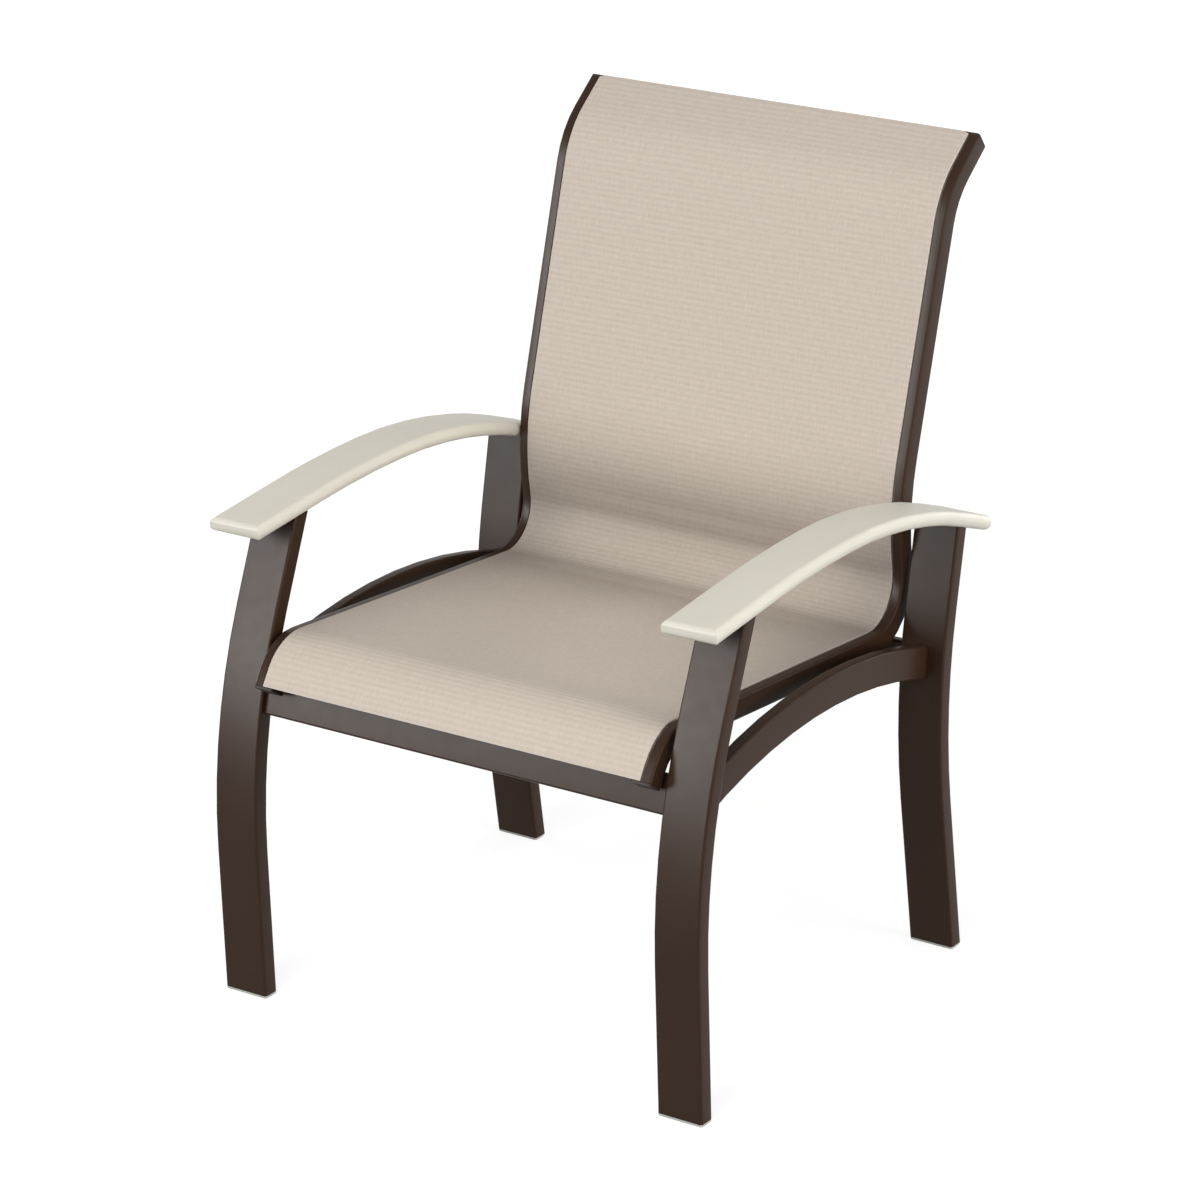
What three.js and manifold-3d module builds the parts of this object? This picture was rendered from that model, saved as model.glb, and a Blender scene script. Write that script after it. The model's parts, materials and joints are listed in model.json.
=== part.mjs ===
// Sling patio chair with a fixed frame of flat tube, board arms and one sling of woven mesh.
// Millimetres, +Z up. The chair faces -Y, left is -X, and the origin is on the ground under its middle.
import * as THREE from "three";
import { mergeVertices } from "three/addons/utils/BufferGeometryUtils.js";
import Module from "manifold-3d";

const wasm = await Module();
wasm.setup();

// Clearances
const fitGap = 0.3;
const keyGap = 0.6;
const railGap = 4;
const armGap = 0.5;
const cutOverrun = 5;
const chordError = 0.4;
const blockShare = 4;

// Legs: flat tube, wide across and thin from front to back
const legSpacing = 600;
const legWidth = 58;
const legDepth = 22;
const legWall = 2;
const legCorner = 3;
const frontLegFoot = { heading: 92.8, straight: 180.6 };
const frontLegBend = { radius: 674, turn: -24.9 };
const rearLegFoot = { heading: 99.8, straight: 196 };
const rearLegBend = { radius: 700, turn: -20.3 };

// Glides under the feet
const glideFlange = 2.5;
const glidePlug = 12;

// Side braces
const braceTall = 40;
const braceThick = 15;
const braceCorner = 3;
const braceRadius = 800;
const braceHalfAngle = 30;
const braceCrown = 430;

// Stretchers across the chair
const stretcherTall = 45;
const stretcherThick = 15;
const stretcherSetback = 7.5;
const stretcherDrop = 21.3;
const rearStretcherGap = 12;
const rearStretcherAngle = -57;
const tubeWall = 1.8;

// Arms, and the straps let into their undersides
const armWidth = 70.5;
const armThick = 17.5;
const armEdge = 7.8;
const armCrown = 600.6;
const armCrownShare = 0.516;
const armFrontRadius = 1524;
const armFrontTurn = 6;
const armRearRadius = 790;
const armRearTurn = 19.5;
const armRearRun = 110;
const armNose = 72.5;
const armTail = 42;
const strapWidth = 40;
const strapThick = 3;
const strapCorner = 0.8;
const strapInset = 1;
const screwShares = [1 / 8, 1 / 2, 7 / 8];
const screwShank = 2;
const screwHead = { radius: 4.5, tall: 2.5, topShare: 0.7 };
const screwBite = 10;

// Sling rails: the face that carries the cloth runs from the front hem to the top of the back
const seatFront = 398;
const railOverhang = 26;
const railWidth = 26;
const railDepth = 26;
const railWall = 2;
const railCorner = 3;
const railFoot = { heading: 58.1, straight: 18.8 };
const noseBend = { radius: 67.3, turn: -62.2 };
const seatRun = 414;
const creaseBend = { radius: 51.1, turn: 105.5 };
const lumbarBend = { radius: 288.6, turn: -26.8 };
const backRun = 274.5;
const flareBend = { radius: 114, turn: -36.4 };
const flareRun = 46.4;

// Sling cloth and the rods in its side hems
const clothThick = 1;
const splineRadius = 2.2;

// Rail caps
const capThick = 3;
const capStub = 10;

// Tabs and bolts that hold the rails to the stretchers
const tabThick = 4;
const tabWidth = 16;
const boltRadius = 3;
const boltHead = { radius: 5.5, tall: 3.3, topShare: 0.8 };
const boltEnd = 1;
const nutFlats = 10;
const nutThick = 5;
const nutClear = 1;
const frontBoltShare = 0.555;
const rearBoltShare = 0.63;

// Bowed spreader bars between the rails
const spreaderRadius = 8;
const spreaderWall = 1.5;
const spreaderBow = 20;
const plugFlange = 3;
const plugSpigot = 12;
const plugPin = { radius: 3, reach: 3 };
const seatSpreaderShare = 0.5;
const backSpreaderShare = 0.5;

// Counts of facets
const roundSides = 12;
const cornerSteps = 2;
const edgeSteps = 3;
const hemSteps = 7;
const keySteps = 8;
const bossSteps = 5;
const splineSides = 8;
const nutSides = 6;
const bowSteps = 8;
const halvings = 50;

const radians = THREE.MathUtils.degToRad;
const sides = [
  { name: "left", sign: -1 },
  { name: "right", sign: 1 },
];

// Sizes that follow
const legInner = legSpacing / 2 - legWidth / 2;
const railOuter = legInner - railGap;
const railInner = railOuter - railWidth;
const railCentre = railOuter - railWidth / 2;
const armCentre = railOuter + armGap + armWidth / 2;
const armSeat = armThick + fitGap;
const strapDepth = armThick - strapThick;
const blockReach = blockShare * legSpacing;
const footHeight = glideFlange + fitGap;
const hemRadius = splineRadius + fitGap + clothThick;
const keyRadius = hemRadius + keyGap;
const keyDepth = railWall + keyRadius;
const bossRadius = keyRadius + railWall;
const slotHalf = clothThick + fitGap;
const boltDepth = railDepth - railWall - nutClear - nutFlats / 2;

function paint(colour, roughness, metalness) {
  return () => new THREE.MeshStandardMaterial({ color: colour, roughness, metalness });
}
const framePaint = paint(0x3b2c24, 0.45, 0.35);
const boardPaint = paint(0xccc8ba, 0.6, 0);
const clothPaint = paint(0xcfc3b5, 0.85, 0);
const capPlastic = paint(0x1f1916, 0.5, 0);
const glidePlastic = paint(0xb9b9b4, 0.5, 0);
const splinePlastic = paint(0xe6e2d8, 0.5, 0);
const steel = paint(0xb0b2b4, 0.3, 0.9);

// Manifold solids

function toSolid(geometry) {
  const bare = geometry.clone();
  bare.deleteAttribute("normal");
  bare.deleteAttribute("uv");
  const merged = mergeVertices(bare);
  const vertProperties = merged.getAttribute("position").array;
  const triVerts = new Uint32Array(merged.index.array);
  return new wasm.Manifold(new wasm.Mesh({ numProp: 3, vertProperties, triVerts }));
}

function toGeometry(solid) {
  const mesh = solid.getMesh();
  const geometry = new THREE.BufferGeometry();
  geometry.setAttribute("position", new THREE.BufferAttribute(new Float32Array(mesh.vertProperties), 3));
  geometry.setIndex(new THREE.BufferAttribute(new Uint32Array(mesh.triVerts), 1));
  return geometry;
}

function cut(geometry, tools) {
  return toGeometry(tools.reduce((solid, tool) => solid.subtract(toSolid(tool)), toSolid(geometry)));
}

function join(first, second) {
  return toGeometry(toSolid(first).add(toSolid(second)));
}

// Side paths: lines and arcs in the YZ plane. A heading turns from +Y up towards +Z. Depth is measured square
// to the path, to its right: below a path that runs back, behind one that runs up.

function sidePath(start, heading, runs) {
  const path = { runs: [], length: 0 };
  let place = { y: start.y, z: start.z, heading: radians(heading), along: 0 };
  for (const { straight, radius, turn } of runs) {
    const bend = radius ? radius * Math.sign(turn) : 0;
    const length = radius ? radius * Math.abs(radians(turn)) : straight;
    path.runs.push({ ...place, bend, length });
    path.length += length;
    place = placeOn(path, path.length);
  }
  return path;
}

function placeOn(path, along) {
  const run = path.runs.findLast((each) => each.along <= along) ?? path.runs[0];
  const travel = along - run.along;
  const heading = run.bend ? run.heading + travel / run.bend : run.heading;
  const y = run.bend
    ? run.y + run.bend * (Math.sin(heading) - Math.sin(run.heading))
    : run.y + travel * Math.cos(heading);
  const z = run.bend
    ? run.z - run.bend * (Math.cos(heading) - Math.cos(run.heading))
    : run.z + travel * Math.sin(heading);
  return { y, z, heading, along };
}

function atDepth(place, depth) {
  return {
    ...place,
    y: place.y + depth * Math.sin(place.heading),
    z: place.z - depth * Math.cos(place.heading),
  };
}

// The places where a sweep needs a section: both ends, each joint of two runs, steps round arcs, and extras.
function placesBetween(path, from, to, extras = []) {
  const marks = [from, ...extras];
  for (const run of path.runs) {
    const bend = Math.abs(run.bend);
    const step = bend ? 2 * Math.acos(1 - chordError / bend) * bend : run.length;
    const steps = Math.ceil(run.length / step);
    for (let i = 0; i <= steps; i += 1) marks.push(run.along + (run.length * i) / steps);
  }
  marks.push(to);
  const inside = marks.filter((mark) => mark >= from && mark <= to).sort((a, b) => a - b);
  const spaced = inside.filter((mark, i) => i === 0 || mark - inside[i - 1] > fitGap);
  spaced[spaced.length - 1] = to;
  return spaced.map((mark) => placeOn(path, mark));
}

// The value between low and high where miss rises through zero.
function solve(low, high, miss) {
  let [under, over] = [low, high];
  for (let i = 0; i < halvings; i += 1) {
    const middle = (under + over) / 2;
    if (miss(middle) < 0) under = middle;
    else over = middle;
  }
  return (under + over) / 2;
}

function atHeight(path, height) {
  return placeOn(path, solve(0, path.length, (along) => placeOn(path, along).z - height));
}

// Outlines of sections, in (across, depth)

function arcPoints(across, depth, radius, from, to, steps) {
  return Array.from({ length: steps + 1 }, (_, i) => {
    const angle = from + ((to - from) * i) / steps;
    return new THREE.Vector2(across + radius * Math.sin(angle), depth - radius * Math.cos(angle));
  });
}

function roundedOutline(centre, width, top, bottom, radius, steps) {
  const [half, reach] = [width / 2 - radius, (bottom - top) / 2 - radius];
  const middle = (top + bottom) / 2;
  const corners = [
    [1, -1],
    [1, 1],
    [-1, 1],
    [-1, -1],
  ];
  return corners.flatMap(([across, down], i) => {
    const from = (i * Math.PI) / 2;
    const [x, depth] = [centre + across * half, middle + down * reach];
    return arcPoints(x, depth, radius, from, from + Math.PI / 2, steps);
  });
}

function mirrored(points, sign, centre) {
  return points.map(({ x, y }) => new THREE.Vector2(sign * (x + centre), y));
}

// Swept and turned forms

function shapeOf(outline, holes) {
  const shape = new THREE.Shape(outline);
  shape.holes = holes.map((hole) => new THREE.Path(hole));
  return shape;
}

function sweep(outline, places, holes = []) {
  const steps = places.length - 1;
  const shape = shapeOf(outline, holes);
  const geometry = new THREE.ExtrudeGeometry(shape, { depth: steps, steps, bevelEnabled: false });
  const position = geometry.getAttribute("position");
  for (let i = 0; i < position.count; i += 1) {
    const { y, z } = atDepth(places[Math.round(position.getZ(i))], position.getY(i));
    position.setXYZ(i, position.getX(i), y, z);
  }
  return geometry;
}

// A bar of constant section along X, whose outline is given in (along the path, out of its face).
function barAlongX(outline, from, to, holes = []) {
  const shape = shapeOf(outline, holes);
  const geometry = new THREE.ExtrudeGeometry(shape, { depth: to - from, bevelEnabled: false });
  const [x, y, z] = [new THREE.Vector3(1, 0, 0), new THREE.Vector3(0, 1, 0), new THREE.Vector3(0, 0, 1)];
  return geometry.translate(0, 0, from).applyMatrix4(new THREE.Matrix4().makeBasis(y, z, x));
}

// A form turned round Z from (radius, height) points that start and end on the axis or close on themselves.
function turned(profile) {
  const points = profile.map(([radius, height]) => new THREE.Vector2(radius, height));
  return new THREE.LatheGeometry(points, roundSides).rotateX(Math.PI / 2);
}

// A hole for a round pin, so wide that its flats clear the pin all round.
function holeRadius(pinRadius) {
  return (pinRadius + fitGap) / Math.cos(Math.PI / roundSides);
}

function drillAlongX(place, radius, from, to) {
  const wide = holeRadius(radius);
  const drill = new THREE.CylinderGeometry(wide, wide, Math.abs(to - from), roundSides);
  return drill.rotateZ(Math.PI / 2).translate((from + to) / 2, place.y, place.z);
}

function circle(radius, count) {
  return arcPoints(0, 0, radius, 0, 2 * Math.PI, count).slice(0, count);
}

// Assembly

const chair = new THREE.Group();

function addPiece(name, geometry, material, place, across = 0) {
  const mesh = new THREE.Mesh(geometry, material());
  mesh.name = name;
  if (place) {
    mesh.position.set(across, place.y, place.z);
    mesh.rotation.x = place.heading;
  }
  chair.add(mesh);
}

// Side layout

const footStart = { y: 0, z: footHeight };
const legRuns = (foot, bend) => [{ straight: foot.straight }, bend, { straight: armCrown }];
const frontLeg = sidePath(footStart, frontLegFoot.heading, legRuns(frontLegFoot, frontLegBend));

const railStart = { y: atHeight(frontLeg, seatFront).y - railOverhang, z: seatFront };
const railRuns = [
  { straight: railFoot.straight },
  noseBend,
  { straight: seatRun },
  creaseBend,
  lumbarBend,
  { straight: backRun },
  flareBend,
  { straight: flareRun },
];
const rail = sidePath(railStart, railFoot.heading, railRuns);
const [, noseStart, seatStart, creaseStart, , , , flareStart] = rail.runs;
const railPlaces = placesBetween(rail, 0, rail.length);

const stretcherDepth = stretcherSetback + stretcherThick / 2;
const frontStretcher = atDepth(atHeight(frontLeg, seatFront - stretcherDrop), stretcherDepth);

// The rear stretcher lies outside the crease of the rails, and the rear legs stand where it needs them.
const creaseCentre = atDepth(creaseStart, -creaseBend.radius);
const creaseReach = creaseBend.radius + railDepth + rearStretcherGap;
const rearStretcherEdge = {
  y: creaseCentre.y + creaseReach * Math.cos(radians(rearStretcherAngle)),
  z: creaseCentre.z + creaseReach * Math.sin(radians(rearStretcherAngle)),
};
const rearLegAtOrigin = sidePath(footStart, rearLegFoot.heading, legRuns(rearLegFoot, rearLegBend));
const rearSeat = atDepth(atHeight(rearLegAtOrigin, rearStretcherEdge.z - stretcherTall / 2), stretcherDepth);
const rearFootStart = {
  y: rearStretcherEdge.y + stretcherThick / 2 - rearSeat.y,
  z: footHeight,
};
const rearLeg = sidePath(rearFootStart, rearLegFoot.heading, legRuns(rearLegFoot, rearLegBend));
const rearStretcher = { ...rearSeat, y: rearSeat.y + rearFootStart.y };

// Both the arms and the side braces are highest at this distance from the front feet.
const crownY = armCrownShare * rearFootStart.y;

// Arms and side braces

function armPath() {
  const front = sidePath({ y: crownY, z: armCrown }, 180, [{ radius: armFrontRadius, turn: armFrontTurn }]);
  const bendEnd = placeOn(front, front.length);
  const start = {
    y: bendEnd.y - crownY * Math.cos(radians(armFrontTurn)),
    z: bendEnd.z - crownY * Math.sin(radians(armFrontTurn)),
  };
  const runs = [
    { straight: crownY },
    { radius: armFrontRadius, turn: -armFrontTurn },
    { radius: armRearRadius, turn: -armRearTurn },
    { straight: armRearRun },
  ];
  return sidePath(start, armFrontTurn, runs);
}

// How far along a path that runs back its line at some depth meets a leg's line at some depth.
function meetsLeg(path, depth, leg, legFace) {
  return solve(0, path.length, (along) => {
    const point = atDepth(placeOn(path, along), depth);
    return point.y - atDepth(atHeight(leg, point.z), legFace).y;
  });
}

const arm = armPath();
const legsFrom = meetsLeg(arm, armSeat, frontLeg, 0);
const legsTo = meetsLeg(arm, armSeat, rearLeg, legDepth);
const strapFrom = legsFrom + strapInset;
const strapTo = legsTo - strapInset;
const screwFrom = meetsLeg(arm, armSeat, frontLeg, legDepth);
const screwTo = meetsLeg(arm, armSeat, rearLeg, 0);
const screwMarks = screwShares.map((share) => screwFrom + (screwTo - screwFrom) * share);
const alongArm = (from, to) => placesBetween(arm, from, to, [strapFrom, strapTo, ...screwMarks]);

// The arm's section with rounded edges, less what lies above and below the angle trim of its edges.
function armOutline(centre, trim) {
  const [left, right] = [centre - armWidth / 2 + armEdge, centre + armWidth / 2 - armEdge];
  const [upper, lower] = [armEdge, armThick - armEdge];
  const half = Math.PI / 2;
  return [
    ...arcPoints(right, upper, armEdge, trim, half, edgeSteps),
    ...arcPoints(right, lower, armEdge, half, 2 * half - trim, edgeSteps),
    ...arcPoints(left, lower, armEdge, 2 * half + trim, 3 * half, edgeSteps),
    ...arcPoints(left, upper, armEdge, 3 * half, 4 * half - trim, edgeSteps),
  ];
}

// A board with the same rounded edge on all sides, mitred at its corners: near both ends, its sections lose
// what the end's own rounding takes away.
function armBoard(centre) {
  const [from, to] = [legsFrom - armNose, legsTo + armTail];
  const ring = (along, trim) => ({ place: placeOn(arm, along), outline: armOutline(centre, trim) });
  const trimStep = Math.PI / 2 / (edgeSteps + 1);
  const trims = Array.from({ length: edgeSteps }, (_, i) => (edgeSteps - i) * trimStep);
  const inwards = (trim) => armEdge * (1 - Math.sin(trim));
  const front = trims.map((trim) => ring(from + inwards(trim), trim));
  const rear = trims.map((trim) => ring(to - inwards(trim), trim)).reverse();
  const middle = alongArm(from + armEdge, to - armEdge).map(({ along }) => ring(along, 0));
  return loft([...front, ...middle, ...rear]);
}

// Joins rings of as many points each, in order, and closes both ends.
function loft(rings) {
  const count = rings[0].outline.length;
  const points = rings.flatMap(({ place, outline }) =>
    outline.map(({ x, y: depth }) => {
      const { y, z } = atDepth(place, depth);
      return new THREE.Vector3(x, y, z);
    }),
  );
  const faces = [];
  for (let r = 0; r + 1 < rings.length; r += 1) {
    for (let i = 0; i < count; i += 1) {
      const [a, b] = [r * count + i, r * count + ((i + 1) % count)];
      faces.push(a, b, b + count, a, b + count, a + count);
    }
  }
  const last = (rings.length - 1) * count;
  for (let i = 1; i + 1 < count; i += 1) faces.push(0, i + 1, i, last, last + i, last + i + 1);
  const geometry = new THREE.BufferGeometry().setFromPoints(points);
  geometry.setIndex(faces);
  return geometry;
}

function strap(centre) {
  const outline = roundedOutline(centre, strapWidth, strapDepth, strapDepth + strapThick, strapCorner, 1);
  return sweep(outline, alongArm(strapFrom, strapTo));
}

// The groove under the arm that the strap lies in, flush with the arm's underside.
function strapGroove(centre) {
  const wide = strapWidth + 2 * fitGap;
  const outline = roundedOutline(centre, wide, strapDepth - fitGap, armThick + cutOverrun, strapCorner, 1);
  return sweep(outline, alongArm(strapFrom - fitGap, strapTo + fitGap));
}

function armScrew() {
  return turned([
    [0, -fitGap - screwHead.tall],
    [screwHead.radius * screwHead.topShare, -fitGap - screwHead.tall],
    [screwHead.radius, -fitGap],
    [screwShank, -fitGap],
    [screwShank, strapThick + screwBite],
    [0, strapThick + screwBite],
  ]);
}

function addArm({ name, sign }) {
  const centre = sign * armCentre;
  const spots = screwMarks.map((mark) => placeOn(arm, mark));
  const drills = spots.map((place) => {
    const drill = new THREE.CylinderGeometry(
      holeRadius(screwShank),
      holeRadius(screwShank),
      strapThick + screwBite + cutOverrun + fitGap,
      roundSides,
    );
    const middle = (screwBite + fitGap - cutOverrun) / 2;
    const seat = atDepth(place, strapDepth - middle + strapThick / 2);
    return drill.rotateX(Math.PI / 2 + place.heading).translate(centre, seat.y, seat.z);
  });
  addPiece(`arm_${name}`, cut(armBoard(centre), [strapGroove(centre), ...drills]), boardPaint);
  addPiece(`arm_strap_${name}`, cut(strap(centre), drills), framePaint);
  spots.forEach((place, i) => {
    const seat = atDepth(place, strapDepth + strapThick);
    addPiece(`arm_screw_${name}_${i + 1}`, armScrew(), steel, seat, centre);
  });
}

// Legs, glides, braces and stretchers

function legPlaces(leg) {
  const top = leg.runs[2].along + (armCrown - leg.runs[2].z) / Math.sin(leg.runs[2].heading);
  return placesBetween(leg, -cutOverrun, top);
}

function groundBlock(top) {
  return new THREE.BoxGeometry(blockReach, blockReach, armCrown).translate(0, 0, top - armCrown / 2);
}

function overArmBlock() {
  const outline = roundedOutline(0, blockReach, -armNose, armSeat, legCorner, 1);
  return sweep(outline, alongArm(0, arm.length));
}

function legTube(leg, centre) {
  const outer = roundedOutline(centre, legWidth, 0, legDepth, legCorner, cornerSteps);
  const wide = legWidth - 2 * legWall;
  const inner = roundedOutline(centre, wide, legWall, legDepth - legWall, legCorner - legWall, 1);
  return cut(sweep(outer, legPlaces(leg), [inner]), [groundBlock(footHeight), overArmBlock()]);
}

function glide(leg, centre) {
  const places = placesBetween(leg, -cutOverrun, glidePlug);
  const flange = roundedOutline(centre, legWidth, 0, legDepth, legCorner, cornerSteps);
  const wall = legWall + fitGap;
  const plug = roundedOutline(centre, legWidth - 2 * wall, wall, legDepth - wall, legCorner - legWall, 1);
  const above = new THREE.BoxGeometry(blockReach, blockReach, armCrown);
  const disc = cut(sweep(flange, places), [
    groundBlock(0),
    above.translate(0, 0, glideFlange + armCrown / 2),
  ]);
  return join(disc, cut(sweep(plug, places), [groundBlock(glideFlange / 2)]));
}

function sideBrace(centre) {
  const reach = radians(braceHalfAngle);
  const start = {
    y: crownY - braceRadius * Math.sin(reach),
    z: braceCrown - braceRadius * (1 - Math.cos(reach)),
  };
  const path = sidePath(start, braceHalfAngle, [{ radius: braceRadius, turn: -2 * braceHalfAngle }]);
  const from = meetsLeg(path, braceTall / 2, frontLeg, legDepth / 2);
  const to = meetsLeg(path, braceTall / 2, rearLeg, legDepth / 2);
  const outer = roundedOutline(centre, braceThick, 0, braceTall, braceCorner, cornerSteps);
  const bore = roundedOutline(
    centre,
    braceThick - 2 * tubeWall,
    tubeWall,
    braceTall - tubeWall,
    braceCorner - tubeWall,
    1,
  );
  const beforeFront = roundedOutline(centre, legWidth, -braceTall, legDepth + fitGap, legCorner, 1);
  const behindRear = roundedOutline(centre, legWidth, -fitGap, legDepth + braceTall, legCorner, 1);
  const ends = [sweep(beforeFront, legPlaces(frontLeg)), sweep(behindRear, legPlaces(rearLeg))];
  return cut(sweep(outer, placesBetween(path, from, to), [bore]), ends);
}

function stretcherTube() {
  const half = stretcherThick / 2;
  const outer = roundedOutline(0, stretcherTall, -half, half, braceCorner, cornerSteps);
  const bore = roundedOutline(
    0,
    stretcherTall - 2 * tubeWall,
    tubeWall - half,
    half - tubeWall,
    braceCorner - tubeWall,
    1,
  );
  return barAlongX(outer, fitGap - legInner, legInner - fitGap, [bore]);
}

// Sling rails, cloth and splines

function railOutline() {
  const skin = roundedOutline(0, railWidth, 0, railDepth, railCorner, cornerSteps);
  const edge = Math.asin(slotHalf / keyRadius);
  const bore = arcPoints(0, keyDepth, keyRadius, -edge, edge - 2 * Math.PI, keySteps);
  const lips = [new THREE.Vector2(-slotHalf, 0), ...bore, new THREE.Vector2(slotHalf, 0)];
  return [...skin, ...lips];
}

function railChamber() {
  const [half, floor] = [railWidth / 2 - railWall, railDepth - railWall];
  const edge = Math.acos((keyDepth - railWall) / bossRadius);
  const boss = arcPoints(0, keyDepth, bossRadius, edge, 2 * Math.PI - edge, bossSteps);
  const wall = [
    [-half, railWall],
    [-half, floor],
    [half, floor],
    [half, railWall],
  ];
  return [...wall.map(([x, depth]) => new THREE.Vector2(x, depth)), ...boss];
}

function slingHem() {
  const top = -fitGap - clothThick;
  const edge = Math.asin(clothThick / hemRadius);
  return [
    new THREE.Vector2(clothThick / 2, top),
    new THREE.Vector2(clothThick, top + clothThick / 2),
    ...arcPoints(0, keyDepth, hemRadius, edge, 2 * Math.PI - edge, hemSteps),
    new THREE.Vector2(-clothThick, -fitGap),
  ];
}

function sling() {
  const right = mirrored(slingHem(), 1, railCentre);
  const left = mirrored(slingHem(), -1, railCentre).reverse();
  const tunnels = sides.map(({ sign }) =>
    circle(splineRadius + fitGap, splineSides).map(
      ({ x, y }) => new THREE.Vector2(sign * railCentre + x, keyDepth + y),
    ),
  );
  return sweep([...right, ...left], railPlaces, tunnels);
}

function spline(sign) {
  const outline = circle(splineRadius, splineSides).map(
    ({ x, y }) => new THREE.Vector2(sign * railCentre + x, keyDepth + y),
  );
  return sweep(outline, railPlaces);
}

// Places on the rail's bolt line: over each stretcher, and where the spreader bars go.
const onBoltLine = (run, share) => atDepth(placeOn(rail, run.along + run.length * share), boltDepth);
const frontBolt = onBoltLine(noseStart, frontBoltShare);
const rearBolt = onBoltLine(creaseStart, rearBoltShare);
const joints = [
  { name: "front", stretcher: frontStretcher, bolt: frontBolt },
  { name: "rear", stretcher: rearStretcher, bolt: rearBolt },
];
const spreaders = [
  { name: "seat", place: onBoltLine(seatStart, seatSpreaderShare) },
  { name: "back", place: onBoltLine(flareStart, backSpreaderShare) },
];

function slingRail(sign) {
  const outline = mirrored(railOutline(), sign, railCentre);
  const chamber = mirrored(railChamber(), sign, railCentre);
  const [from, to] = [sign * (railInner - cutOverrun), sign * (railInner + railWall + nutThick / 2)];
  const bolts = joints.map(({ bolt }) => drillAlongX(bolt, boltRadius, from, to));
  const pins = spreaders.map(({ place }) => drillAlongX(place, plugPin.radius, from, to));
  return cut(sweep(outline, railPlaces, [chamber]), [...bolts, ...pins]);
}

// A cap over one end of a rail, with a stub in its chamber. Outwards is -1 at the front end and 1 at the top.
function railCap(sign, end, outwards) {
  const stretch = (from, to) =>
    [from, to]
      .map((reach) => outwards * reach)
      .sort((a, b) => a - b)
      .map((reach) => ({
        ...end,
        y: end.y + reach * Math.cos(end.heading),
        z: end.z + reach * Math.sin(end.heading),
      }));
  const plate = roundedOutline(sign * railCentre, railWidth, 0, railDepth, railCorner, cornerSteps);
  const stub = roundedOutline(
    sign * railCentre,
    railWidth - 2 * (railWall + fitGap),
    keyDepth + bossRadius + fitGap,
    railDepth - railWall - fitGap,
    fitGap,
    1,
  );
  return join(
    sweep(plate, stretch(fitGap, fitGap + capThick)),
    sweep(stub, stretch(-capStub, fitGap + capThick / 2)),
  );
}

// Tabs, bolts, nuts and spreader bars

// A tongue that stands on its stretcher and ends in a round head about the bolt.
function tab(stretcher, bolt, sign) {
  const foot = stretcherTall / 2 + fitGap;
  const [dy, dz] = [bolt.y - stretcher.y, bolt.z - stretcher.z];
  const rise = dy * Math.cos(stretcher.heading) + dz * Math.sin(stretcher.heading);
  const lean = dz * Math.cos(stretcher.heading) - dy * Math.sin(stretcher.heading);
  const half = tabWidth / 2;
  const tilt = Math.atan2(lean, rise - foot);
  const crown = arcPoints(rise, lean, half, tilt, tilt + Math.PI, roundSides / 2);
  const outline = [new THREE.Vector2(foot, -half), ...crown, new THREE.Vector2(foot, half)];
  const bore = circle(holeRadius(boltRadius), roundSides);
  const hole = bore.map(({ x, y }) => new THREE.Vector2(rise + x, lean + y));
  const [near, far] = [railInner - fitGap, railInner - fitGap - tabThick];
  return sign > 0 ? barAlongX(outline, far, near, [hole]) : barAlongX(outline, -near, -far, [hole]);
}

function bolt() {
  const reach = tabThick + fitGap + railWall + fitGap + nutThick + boltEnd;
  return turned([
    [0, -fitGap - boltHead.tall],
    [boltHead.radius * boltHead.topShare, -fitGap - boltHead.tall],
    [boltHead.radius, -fitGap - boltHead.tall / 2],
    [boltHead.radius, -fitGap],
    [boltRadius, -fitGap],
    [boltRadius, reach],
    [0, reach],
  ]).rotateY(Math.PI / 2);
}

function nut() {
  const corner = nutFlats / 2 / Math.cos(Math.PI / nutSides);
  const hexagon = circle(corner, nutSides).map(({ x, y }) => new THREE.Vector2(y, x));
  return barAlongX(hexagon, 0, nutThick, [circle(holeRadius(boltRadius), roundSides)]);
}

// A tube between the rails that bows away from the cloth and runs straight over the spigots at both ends.
function spreaderTube() {
  const half = railInner - fitGap - plugFlange - fitGap;
  const bowed = half - plugSpigot - fitGap;
  const places = Array.from({ length: bowSteps + 1 }, (_, i) => ({
    x: bowed * ((2 * i) / bowSteps - 1),
    drop: (spreaderBow * (1 - Math.cos((2 * Math.PI * i) / bowSteps))) / 2,
  }));
  const stations = [{ x: -half, drop: 0 }, ...places, { x: half, drop: 0 }];
  const steps = stations.length - 1;
  const bore = circle(spreaderRadius - spreaderWall, roundSides);
  const shape = shapeOf(circle(spreaderRadius, roundSides), [bore]);
  const geometry = new THREE.ExtrudeGeometry(shape, { depth: steps, steps, bevelEnabled: false });
  const position = geometry.getAttribute("position");
  for (let i = 0; i < position.count; i += 1) {
    const { x, drop } = stations[Math.round(position.getZ(i))];
    position.setXYZ(i, x, position.getX(i), position.getY(i) - drop);
  }
  return geometry;
}

function spreaderPlug() {
  const spigot = (spreaderRadius - spreaderWall) * Math.cos(Math.PI / roundSides) - fitGap;
  return turned([
    [0, -plugFlange - fitGap - plugSpigot],
    [spigot, -plugFlange - fitGap - plugSpigot],
    [spigot, -plugFlange - fitGap],
    [spreaderRadius, -plugFlange - fitGap],
    [spreaderRadius, -fitGap],
    [plugPin.radius, -fitGap],
    [plugPin.radius, railWall + plugPin.reach],
    [0, railWall + plugPin.reach],
  ]).rotateY(Math.PI / 2);
}

// Everything in its place

function addAcross(name, geometry, material, place, across, sign) {
  addPiece(name, sign > 0 ? geometry : geometry.rotateY(Math.PI), material, place, sign * across);
}

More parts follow.
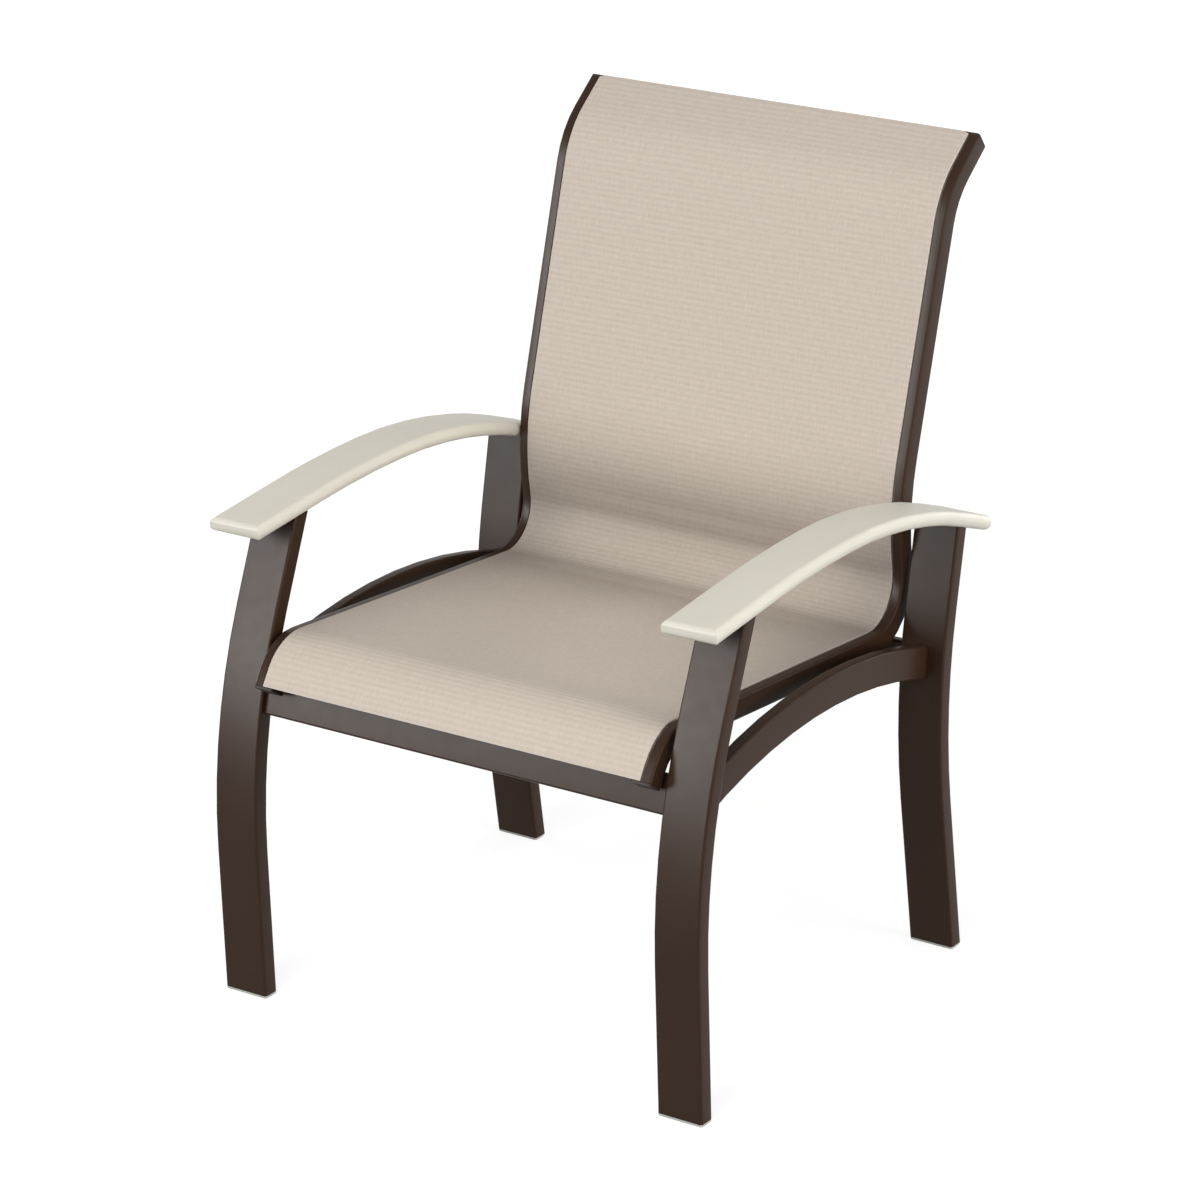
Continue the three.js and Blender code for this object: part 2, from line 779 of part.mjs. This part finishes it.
for (const side of sides) {
  const { name, sign } = side;
  const centre = (sign * legSpacing) / 2;
  addPiece(`front_leg_${name}`, legTube(frontLeg, centre), framePaint);
  addPiece(`rear_leg_${name}`, legTube(rearLeg, centre), framePaint);
  addPiece(`front_glide_${name}`, glide(frontLeg, centre), glidePlastic);
  addPiece(`rear_glide_${name}`, glide(rearLeg, centre), glidePlastic);
  addPiece(`side_brace_${name}`, sideBrace(centre), framePaint);
  addArm(side);
  addPiece(`sling_rail_${name}`, slingRail(sign), framePaint);
  addPiece(`sling_spline_${name}`, spline(sign), splinePlastic);
  addPiece(`rail_cap_front_${name}`, railCap(sign, railPlaces[0], -1), capPlastic);
  addPiece(`rail_cap_top_${name}`, railCap(sign, railPlaces.at(-1), 1), capPlastic);
  for (const { name: end, stretcher, bolt: place } of joints) {
    addPiece(`rail_tab_${end}_${name}`, tab(stretcher, place, sign), framePaint, stretcher);
    const inboard = railInner - fitGap - tabThick;
    addAcross(`rail_bolt_${end}_${name}`, bolt(), steel, place, inboard, sign);
    addAcross(`rail_nut_${end}_${name}`, nut(), steel, place, railInner + railWall + fitGap, sign);
  }
  for (const { name: which, place } of spreaders) {
    addAcross(`${which}_spreader_plug_${name}`, spreaderPlug(), capPlastic, place, railInner, sign);
  }
}
addPiece("front_stretcher", stretcherTube(), framePaint, frontStretcher);
addPiece("rear_stretcher", stretcherTube(), framePaint, rearStretcher);
addPiece("seat_spreader", spreaderTube(), framePaint, spreaders[0].place);
addPiece("back_spreader", spreaderTube(), framePaint, spreaders[1].place);
addPiece("sling", sling(), clothPaint);

const box = new THREE.Box3().setFromObject(chair);
chair.position.y = -(box.min.y + box.max.y) / 2;

const group = new THREE.Group();
group.add(chair);

export default group;
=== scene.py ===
"""Looks of the sling patio chair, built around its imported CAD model.

Metres, in the model's frame: +Z up, the chair faces -Y, and the ground is z = 0.
"""

import json
import math

import bpy
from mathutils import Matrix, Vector

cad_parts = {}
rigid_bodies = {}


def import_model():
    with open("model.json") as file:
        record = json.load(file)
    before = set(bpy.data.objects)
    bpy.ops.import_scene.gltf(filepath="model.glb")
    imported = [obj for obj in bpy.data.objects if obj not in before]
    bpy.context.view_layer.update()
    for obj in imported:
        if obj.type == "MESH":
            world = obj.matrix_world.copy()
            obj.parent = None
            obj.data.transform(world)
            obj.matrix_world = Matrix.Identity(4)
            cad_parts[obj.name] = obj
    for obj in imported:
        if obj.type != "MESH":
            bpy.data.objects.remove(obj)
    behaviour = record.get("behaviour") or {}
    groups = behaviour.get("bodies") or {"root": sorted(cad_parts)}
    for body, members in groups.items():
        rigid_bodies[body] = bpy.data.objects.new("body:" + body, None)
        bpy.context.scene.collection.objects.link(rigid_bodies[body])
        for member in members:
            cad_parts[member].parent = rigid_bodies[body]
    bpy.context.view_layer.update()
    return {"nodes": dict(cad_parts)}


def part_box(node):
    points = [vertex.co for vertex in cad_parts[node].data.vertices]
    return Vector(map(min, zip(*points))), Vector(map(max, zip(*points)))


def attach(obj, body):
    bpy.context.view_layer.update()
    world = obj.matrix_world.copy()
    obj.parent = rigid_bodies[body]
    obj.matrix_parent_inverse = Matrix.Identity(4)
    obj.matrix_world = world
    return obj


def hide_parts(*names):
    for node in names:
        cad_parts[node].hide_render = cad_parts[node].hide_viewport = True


for stray in list(bpy.data.objects):
    bpy.data.objects.remove(stray)

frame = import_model()

# The rail's face that carries the cloth, from the front of the seat to the top of the back: straight runs as
# (length,) and bends as (radius, turn in degrees).
RAIL_START_HEIGHT = 0.398
RAIL_START_HEADING = 58.1
RAIL_RUNS = (
    (0.0188,),
    (0.0673, -62.2),
    (0.414,),
    (0.0511, 105.5),
    (0.2886, -26.8),
    (0.2745,),
    (0.114, -36.4),
    (0.0464,),
)

# Cloth of the sling: it lies CLOTH_LIFT above the rails' faces, and turns down over each slot's lip.
CLOTH_THICK = 0.0009
CLOTH_LIFT = 0.0006
CLOTH_STEP = 0.004
CLOTH_COLUMNS = 36
LIP_RADIUS = 0.0008
LIP_STEPS = 3

# Its hem: a loop round the spline, centred at HEM_DEPTH, whose two layers pass through the slot HEM_SPREAD
# either side of its middle
HEM_RADIUS = 0.003
HEM_DEPTH = 0.0061
HEM_SPREAD = 0.00055
HEM_STEPS = 14
HEM_TAIL_DEPTH = 0.0012

# How far it reaches over the rails' top caps, nearly all of it in the last part of its length
CLOTH_OVER_CAP = 0.0024
OVER_CAP_POWER = 8

# How far it pulls away from the rails' curve at its middle, where the bend has SADDLE_BEND_RADIUS
CREASE_SADDLE = 0.0055
CREST_SADDLE = 0.0003
SADDLE_BEND_RADIUS = 0.051
SADDLE_REACH = 0.05
SADDLE_POWER = 0.75

# Weave: the distances between its ribs and threads, and how far the broad ribs wander
RIB_PITCH = 0.0072
RIB_DRIFT = 0.0035
WEFT_PITCH = 0.0018
WARP_PITCH = 0.0021

# Painted shade: an ambient occlusion node darkens the cloth's colour where the back and the arms hem it in
PAINTED_SHADE_REACH = 0.3
PAINTED_SHADE_SAMPLES = 8
PAINTED_SHADE_FULL, PAINTED_SHADE_NONE = 0.5, 0.84
PAINTED_SHADE_SHARE = 0.68

# Edges of the rigid pieces
WELD_REACH = 0.00001
EDGE_SOFTNESS = 0.0003
SHARP_ANGLE = 50
FLAT_FACE_WEIGHT = 100

# The colour sockets of Blender's Mix node, which has others for numbers and vectors
MIX_FIRST, MIX_SECOND, MIX_RESULT = 6, 7, 2

# Camera that matches the photograph
CAMERA_AZIMUTH = 33.39
CAMERA_ELEVATION = 20.17
CAMERA_DISTANCE = 4.78843
CAMERA_TARGET_X = 0.19536
CAMERA_TARGET_Z = 0.58973
CAMERA_LENS = 134.75
CAMERA_SENSOR = 36

# Floor: it looks FLOOR_WHITE near the chair, where FLOOR_SHADE of the light is added, and white far away.
FLOOR_HALF = 12
FLOOR_WHITE = 0.8
FLOOR_SHADE = 0.3
FLOOR_BOUNCE = 0.2
FLOOR_FADE_FROM, FLOOR_FADE_TO = 2.5, 6.0

# Light: the world's strength, and the area lamps as azimuth and elevation (as the camera's are), distance,
# width, height and watts
AMBIENT = 0.38
LAMP_AIM = (0, 0, 0.5)
LAMPS = {
    "front": (2, 28, 4.5, 3.2, 2.6, 163),
    "right": (94, 10, 4.5, 2.4, 2.2, 142),
    "sheen_card": (-34.5, 10.5, 20.0, 3.8, 9.0, 5600),
    "rear_fill": (172, 6, 6.0, 2.5, 2.0, 124),
    "left_fill": (-95, 4, 4.5, 2.0, 1.2, 60),
}
GLOSS_LAMPS = ("sheen_card",)


# Geometry of the sling


def rail_path(step):
    """Points (y, z, heading, bend, along) down the middle of the rail's face, at most step apart."""
    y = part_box("sling_rail_right")[0].y
    z = RAIL_START_HEIGHT
    heading = math.radians(RAIL_START_HEADING)
    along = 0
    points = [(y, z, heading, 0, along)]
    for run in RAIL_RUNS:
        bend = 0 if len(run) == 1 else math.copysign(1 / run[0], run[1])
        length = run[0] if len(run) == 1 else run[0] * math.radians(abs(run[1]))
        count = math.ceil(length / step)
        for _ in range(count):
            travel = length / count
            middle = heading + bend * travel / 2
            chord = travel if bend == 0 else 2 * math.sin(abs(bend) * travel / 2) / abs(bend)
            y += chord * math.cos(middle)
            z += chord * math.sin(middle)
            heading += bend * travel
            along += travel
            points.append((y, z, heading, bend, along))
    return points


def smooth_bends(points):
    """The path's bend at each point, averaged over SADDLE_REACH, so that the cloth eases in and out of it."""
    means = []
    for *_, along in points:
        near = [bend for *_, bend, mark in points if abs(mark - along) <= SADDLE_REACH / 2]
        means.append(sum(near) / len(near))
    return means


def cloth_profile(slot_x):
    """Half of the cloth's section as (across, depth), from its middle to the free end of its hem."""
    top = -CLOTH_LIFT - CLOTH_THICK / 2
    edge = slot_x - HEM_SPREAD
    flat = [(edge * i / CLOTH_COLUMNS, top) for i in range(CLOTH_COLUMNS)]
    lip = []
    for i in range(LIP_STEPS + 1):
        angle = math.radians(90 * i / LIP_STEPS)
        lip.append((edge - LIP_RADIUS * (1 - math.sin(angle)), top + LIP_RADIUS * (1 - math.cos(angle))))
    start = math.asin(HEM_SPREAD / HEM_RADIUS)
    loop = []
    for i in range(HEM_STEPS + 1):
        angle = start + (2 * math.pi - 2 * start) * i / HEM_STEPS
        loop.append((slot_x - HEM_RADIUS * math.sin(angle), HEM_DEPTH - HEM_RADIUS * math.cos(angle)))
    tail = [(slot_x + HEM_SPREAD, HEM_TAIL_DEPTH)]
    return flat + lip + loop + tail


def lengths_along(profile):
    """How far along the section each of its points lies."""
    marks = [0]
    for (x0, d0), (x1, d1) in zip(profile, profile[1:]):
        marks.append(marks[-1] + math.hypot(x1 - x0, d1 - d0))
    return marks


def cloth_mesh(vertices, faces, flat_places):
    """A mesh with the place of each vertex on the flat cloth as its "cloth" UV map."""
    mesh = bpy.data.meshes.new("sling_cloth")
    mesh.from_pydata(vertices, [], faces)
    layer = mesh.uv_layers.new(name="cloth")
    for loop in mesh.loops:
        layer.data[loop.index].uv = flat_places[loop.vertex_index]
    mesh.shade_smooth()
    return mesh


def make_sling():
    """The cloth from hem to hem, swept along the rails, in place of the plain solid."""
    low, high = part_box("sling_rail_right")
    slot_x = (low.x + high.x) / 2
    half = cloth_profile(slot_x)
    marks = lengths_along(half)
    profile = [(-x, d) for x, d in reversed(half)] + half[1:]
    across = [-m for m in reversed(marks)] + marks[1:]
    path = rail_path(CLOTH_STEP)
    bends = smooth_bends(path)
    total = path[-1][-1]
    vertices, faces, flat_places = [], [], []
    for (y, z, heading, _, along), bend in zip(path, bends):
        saddle = (CREASE_SADDLE if bend > 0 else CREST_SADDLE) * bend * SADDLE_BEND_RADIUS
        over_cap = CLOTH_OVER_CAP * (along / total) ** OVER_CAP_POWER
        for (x, depth), u in zip(profile, across):
            free = max(0, 1 - (x / slot_x) ** 2) ** SADDLE_POWER
            deep = depth - free * saddle
            between_hems = depth < 0 and abs(x) < slot_x - HEM_RADIUS
            reach = over_cap if between_hems else 0
            vertices.append(
                (
                    x,
                    y + deep * math.sin(heading) + reach * math.cos(heading),
                    z - deep * math.cos(heading) + reach * math.sin(heading),
                )
            )
            flat_places.append((u, along + reach))
    count = len(profile)
    for row in range(len(path) - 1):
        for column in range(count - 1):
            first = row * count + column
            faces.append((first, first + 1, first + count + 1, first + count))
    sling = bpy.data.objects.new("sling_cloth", cloth_mesh(vertices, faces, flat_places))
    bpy.context.collection.objects.link(sling)
    thick = sling.modifiers.new("thickness", "SOLIDIFY")
    thick.thickness = CLOTH_THICK
    thick.offset = 0
    flatten = sling.modifiers.new("flatten", "WEIGHTED_NORMAL")
    flatten.weight = FLAT_FACE_WEIGHT
    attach(sling, "root")
    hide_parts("sling")
    return sling


# Node materials


def add(tree, kind, inputs=None, **settings):
    """A new node with its settings, and its inputs as values or as sockets to link."""
    made = tree.nodes.new(kind)
    for name, value in settings.items():
        setattr(made, name, value)
    for key, value in (inputs or {}).items():
        socket = made.inputs[key]
        if isinstance(value, bpy.types.NodeSocket):
            tree.links.new(value, socket)
        else:
            socket.default_value = value
    return made


def calc(tree, operation, *values):
    """The result of a Math node."""
    return add(tree, "ShaderNodeMath", dict(enumerate(values)), operation=operation).outputs[0]


def ranged(tree, value, from_low, from_high, low, high):
    """A value brought from one range to another, and held at its ends."""
    inputs = {"Value": value, "From Min": from_low, "From Max": from_high, "To Min": low, "To Max": high}
    return add(tree, "ShaderNodeMapRange", inputs).outputs[0]


def spread(tree, value, low, high):
    """A value from 0 to 1 brought to the range from low to high."""
    return ranged(tree, value, 0, 1, low, high)


def blend(tree, share, first, second):
    """The first colour with a share of the second."""
    inputs = {"Factor": share, MIX_FIRST: first, MIX_SECOND: second}
    return add(tree, "ShaderNodeMix", inputs, data_type="RGBA").outputs[MIX_RESULT]


def noise(tree, where, scale, detail=2.0):
    """Soft noise around 0.5. The scale is in spots per metre."""
    inputs = {"Vector": where, "Scale": scale, "Detail": detail}
    return add(tree, "ShaderNodeTexNoise", inputs).outputs["Fac"]


def scaled(tree, where, factors):
    """Coordinates with each axis multiplied by its own factor."""
    return add(tree, "ShaderNodeMapping", {"Vector": where, "Scale": factors}).outputs[0]


def bump(tree, height, distance, strength):
    """A normal that shows a height from 0 to 1 as a relief of the given distance in metres."""
    inputs = {"Height": height, "Distance": distance, "Strength": strength}
    return add(tree, "ShaderNodeBump", inputs).outputs[0]


def linear(red, green, blue):
    """A colour that is given as it shows on a screen, from 0 to 255."""
    shares = (value / 255 for value in (red, green, blue))
    return (*(s / 12.92 if s <= 0.04045 else ((s + 0.055) / 1.055) ** 2.4 for s in shares), 1)


def new_material(name, **sockets):
    """A material with its shader's constant sockets set, its tree, its shader and object coordinates."""
    material = bpy.data.materials.new(name)
    material.use_nodes = True
    tree = material.node_tree
    shader = tree.nodes["Principled BSDF"]
    for key, value in sockets.items():
        shader.inputs[key.replace("_", " ")].default_value = value
    where = add(tree, "ShaderNodeTexCoord").outputs["Object"]
    return material, tree, shader, where


def finish_shader(tree, shader, colour, roughness, normal):
    """Links what varies over the surface to the shader."""
    tree.links.new(colour, shader.inputs["Base Color"])
    tree.links.new(roughness, shader.inputs["Roughness"])
    tree.links.new(normal, shader.inputs["Normal"])


def powder_coat():
    """Dark brown powder coat with fine orange peel, faint clouding and a few lighter specks."""
    material, tree, shader, where = new_material("powder_coat", Specular_IOR_Level=0.1)
    cloud = noise(tree, where, scale=9, detail=3)
    colour = blend(tree, cloud, linear(46, 30, 19), linear(54, 37, 25))
    lit_speck = calc(tree, "GREATER_THAN", noise(tree, where, scale=1400, detail=1), 0.68)
    colour = blend(tree, spread(tree, lit_speck, 0, 0.25), colour, linear(84, 68, 56))
    peel = noise(tree, where, scale=650)
    rough = spread(tree, noise(tree, where, scale=60), 0.35, 0.41)
    finish_shader(tree, shader, colour, rough, bump(tree, peel, distance=0.00012, strength=0.35))
    return material


def board_polymer():
    """Pale satin polymer board with a faint grain along its length."""
    material, tree, shader, where = new_material("board_polymer", Specular_IOR_Level=0.25)
    cloud = noise(tree, scaled(tree, where, (1.0, 0.25, 1.0)), scale=30, detail=3)
    colour = blend(tree, cloud, linear(208, 204, 191), linear(215, 211, 198))
    grain = noise(tree, scaled(tree, where, (1.0, 0.06, 1.0)), scale=900)
    colour = blend(tree, spread(tree, grain, 0, 0.12), colour, linear(196, 190, 174))
    rough = spread(tree, grain, 0.46, 0.56)
    finish_shader(tree, shader, colour, rough, bump(tree, grain, distance=0.00008, strength=0.4))
    return material


def woven_mesh():
    """Beige vinyl-coated weave: soft cross ribs over fine warp and weft threads, with painted shade that
    darkens it where the back and the arms hem it in.
    """
    material, tree, shader, _ = new_material("woven_mesh", Specular_IOR_Level=0.15)
    flat = add(tree, "ShaderNodeUVMap", uv_map="cloth").outputs[0]
    across, along, _ = add(tree, "ShaderNodeSeparateXYZ", {"Vector": flat}).outputs

    def wave(value, pitch):
        turned = calc(tree, "MULTIPLY", value, 2 * math.pi / pitch)
        return calc(tree, "MULTIPLY_ADD", calc(tree, "SINE", turned), 0.5, 0.5)

    def streaks(per_metre_across, per_metre_along):
        return noise(tree, scaled(tree, flat, (per_metre_across, per_metre_along, 1)), scale=1)

    rib = wave(calc(tree, "MULTIPLY_ADD", streaks(9, 26), RIB_DRIFT, along), RIB_PITCH)
    weft = wave(along, WEFT_PITCH)
    warp = wave(across, WARP_PITCH)
    threads = streaks(480, 60)
    slubs = streaks(70, 420)
    rib_share = spread(tree, streaks(24, 60), 0, 0.42)
    tone = calc(tree, "MULTIPLY", calc(tree, "SUBTRACT", rib, 0.5), rib_share)
    tone = calc(tree, "MULTIPLY_ADD", threads, 0.64, tone)
    tone = calc(tree, "MULTIPLY_ADD", slubs, 0.36, tone)
    colour = blend(tree, tone, linear(181, 169, 157), linear(212, 200, 188))
    pit = calc(tree, "MULTIPLY", calc(tree, "SUBTRACT", 1, weft), calc(tree, "SUBTRACT", 1, warp))
    colour = blend(tree, spread(tree, pit, 0, 0.16), colour, linear(120, 108, 95))
    # Painted shade: where the ambient occlusion node finds the back, seat and arms close by, the colour goes
    # towards a dark brown
    open_share = add(
        tree, "ShaderNodeAmbientOcclusion", {"Distance": PAINTED_SHADE_REACH}, samples=PAINTED_SHADE_SAMPLES
    ).outputs["AO"]
    painted_shade = ranged(tree, open_share, PAINTED_SHADE_FULL, PAINTED_SHADE_NONE, PAINTED_SHADE_SHARE, 0)
    colour = blend(tree, painted_shade, colour, linear(92, 82, 72))
    height = calc(tree, "MULTIPLY_ADD", rib, 0.5, calc(tree, "MULTIPLY", warp, 0.35))
    height = calc(tree, "MULTIPLY_ADD", weft, 0.45, height)
    rough = spread(tree, threads, 0.62, 0.78)
    finish_shader(tree, shader, colour, rough, bump(tree, height, distance=0.00022, strength=0.5))
    return material


def moulded_plastic(name, dark, light, low, high):
    """Moulded plastic with a fine matt grain and slight clouding."""
    material, tree, shader, where = new_material(name, Specular_IOR_Level=0.2)
    colour = blend(tree, noise(tree, where, scale=40, detail=3), dark, light)
    rough = spread(tree, noise(tree, where, scale=120), low, high)
    grain = noise(tree, where, scale=1100)
    finish_shader(tree, shader, colour, rough, bump(tree, grain, distance=0.00006, strength=0.5))
    return material


def plated_steel():
    """Plain steel fasteners with turning marks."""
    material, tree, shader, where = new_material("plated_steel", Metallic=1.0)
    marks = noise(tree, scaled(tree, where, (1.0, 1.0, 14.0)), scale=300)
    colour = blend(tree, marks, linear(170, 170, 168), linear(206, 206, 203))
    rough = spread(tree, noise(tree, where, scale=200), 0.24, 0.38)
    finish_shader(tree, shader, colour, rough, bump(tree, marks, distance=0.00004, strength=0.4))
    return material


def dress_nodes(materials):
    """Gives each CAD node its material, smooth faces between sharp edges and softened corners."""
    for node in frame["nodes"].values():
        slot = node.material_slots[0].material.name.split(".")[0]
        if slot == "sling":
            continue
        node.material_slots[0].material = materials[slot]
        mesh = node.data
        if "custom_normal" in mesh.attributes:
            mesh.attributes.remove(mesh.attributes["custom_normal"])
        mesh.shade_smooth()
        weld = node.modifiers.new("weld", "WELD")
        weld.merge_threshold = WELD_REACH
        soften = node.modifiers.new("soften", "BEVEL")
        soften.width = EDGE_SOFTNESS
        soften.segments = 2
        soften.limit_method = "ANGLE"
        soften.angle_limit = math.radians(SHARP_ANGLE)
        flatten = node.modifiers.new("flatten", "WEIGHTED_NORMAL")
        flatten.weight = FLAT_FACE_WEIGHT
        flatten.keep_sharp = True


# Stage, light and camera


def seen_rays(tree):
    """1 for rays from the camera and in reflections and glass, and 0 for the light that falls on things."""
    rays = add(tree, "ShaderNodeLightPath").outputs
    shiny = calc(tree, "MAXIMUM", rays["Is Glossy Ray"], rays["Is Transmission Ray"])
    return calc(tree, "MAXIMUM", rays["Is Camera Ray"], shiny)


def make_world():
    """An even white surround: AMBIENT as light, and plain white where it is seen."""
    world = bpy.data.worlds.new("studio")
    bpy.context.scene.world = world
    world.use_nodes = True
    tree = world.node_tree
    background = tree.nodes["Background"]
    background.inputs["Color"].default_value = (1, 1, 1, 1)
    strength = spread(tree, seen_rays(tree), AMBIENT, 1)
    tree.links.new(strength, background.inputs["Strength"])


def make_floor():
    """A pale floor that keeps the chair's shadow and reflects little light up at it."""
    corners = [(x * FLOOR_HALF, y * FLOOR_HALF, 0) for x, y in ((-1, -1), (1, -1), (1, 1), (-1, 1))]
    mesh = bpy.data.meshes.new("floor")
    mesh.from_pydata(corners, [], [(0, 1, 2, 3)])
    floor = bpy.data.objects.new("floor", mesh)
    bpy.context.collection.objects.link(floor)
    material = bpy.data.materials.new("pale_floor")
    material.use_nodes = True
    tree = material.node_tree
    tree.nodes.remove(tree.nodes["Principled BSDF"])
    seen = seen_rays(tree)
    shade = spread(tree, seen, FLOOR_BOUNCE, FLOOR_SHADE)
    matt = add(tree, "ShaderNodeBsdfDiffuse")
    tint = add(tree, "ShaderNodeCombineColor", {0: shade, 1: shade, 2: shade}).outputs[0]
    tree.links.new(tint, matt.inputs["Color"])
    place = add(tree, "ShaderNodeNewGeometry").outputs["Position"]
    away = add(tree, "ShaderNodeVectorMath", {0: place}, operation="LENGTH").outputs["Value"]
    white = ranged(tree, away, FLOOR_FADE_FROM, FLOOR_FADE_TO, FLOOR_WHITE, 1)
    glow = add(tree, "ShaderNodeEmission", {"Strength": calc(tree, "MULTIPLY", seen, white)})
    both = add(tree, "ShaderNodeAddShader", {0: matt.outputs[0], 1: glow.outputs[0]})
    tree.links.new(both.outputs[0], tree.nodes["Material Output"].inputs["Surface"])
    mesh.materials.append(material)


def outward(azimuth, elevation):
    """The direction from the chair to something at these angles. Azimuth 0 is its front, and 90 is +X."""
    a, e = math.radians(azimuth), math.radians(elevation)
    return Vector((math.sin(a) * math.cos(e), -math.cos(a) * math.cos(e), math.sin(e)))


def make_lamps():
    """The area lamps, each facing the chair. Those in GLOSS_LAMPS show in the gloss alone."""
    for name, (azimuth, elevation, distance, width, height, watts) in LAMPS.items():
        lamp = bpy.data.lights.new(name, "AREA")
        lamp.shape = "RECTANGLE"
        lamp.size, lamp.size_y = width, height
        lamp.energy = watts
        box = bpy.data.objects.new(name, lamp)
        bpy.context.collection.objects.link(box)
        direction = outward(azimuth, elevation)
        box.location = Vector(LAMP_AIM) + direction * distance
        box.rotation_euler = direction.to_track_quat("Z", "Y").to_euler()
        box.visible_diffuse = name not in GLOSS_LAMPS


def make_camera():
    """The camera at the photograph's viewing angle, fitted from the right front foot."""
    data = bpy.data.cameras.new("camera")
    data.sensor_width = CAMERA_SENSOR
    data.lens = CAMERA_LENS
    camera = bpy.data.objects.new("camera", data)
    bpy.context.collection.objects.link(camera)
    target = Vector((CAMERA_TARGET_X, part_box("front_glide_right")[0].y, CAMERA_TARGET_Z))
    back = outward(CAMERA_AZIMUTH, CAMERA_ELEVATION)
    camera.location = target + back * CAMERA_DISTANCE
    camera.rotation_euler = back.to_track_quat("Z", "Y").to_euler()
    bpy.context.scene.camera = camera


sling = make_sling()
sling.data.materials.append(woven_mesh())
dress_nodes(
    {
        "frame": powder_coat(),
        "arm": board_polymer(),
        "cap": moulded_plastic("cap_plastic", linear(40, 31, 25), linear(48, 37, 31), 0.5, 0.6),
        "glide": moulded_plastic("glide_plastic", linear(178, 178, 173), linear(192, 192, 187), 0.4, 0.5),
        "spline": moulded_plastic("spline_plastic", linear(222, 217, 206), linear(232, 228, 218), 0.4, 0.5),
        "steel": plated_steel(),
    }
)
make_world()
make_floor()
make_lamps()
make_camera()

bpy.context.scene.view_settings.view_transform = "Standard"
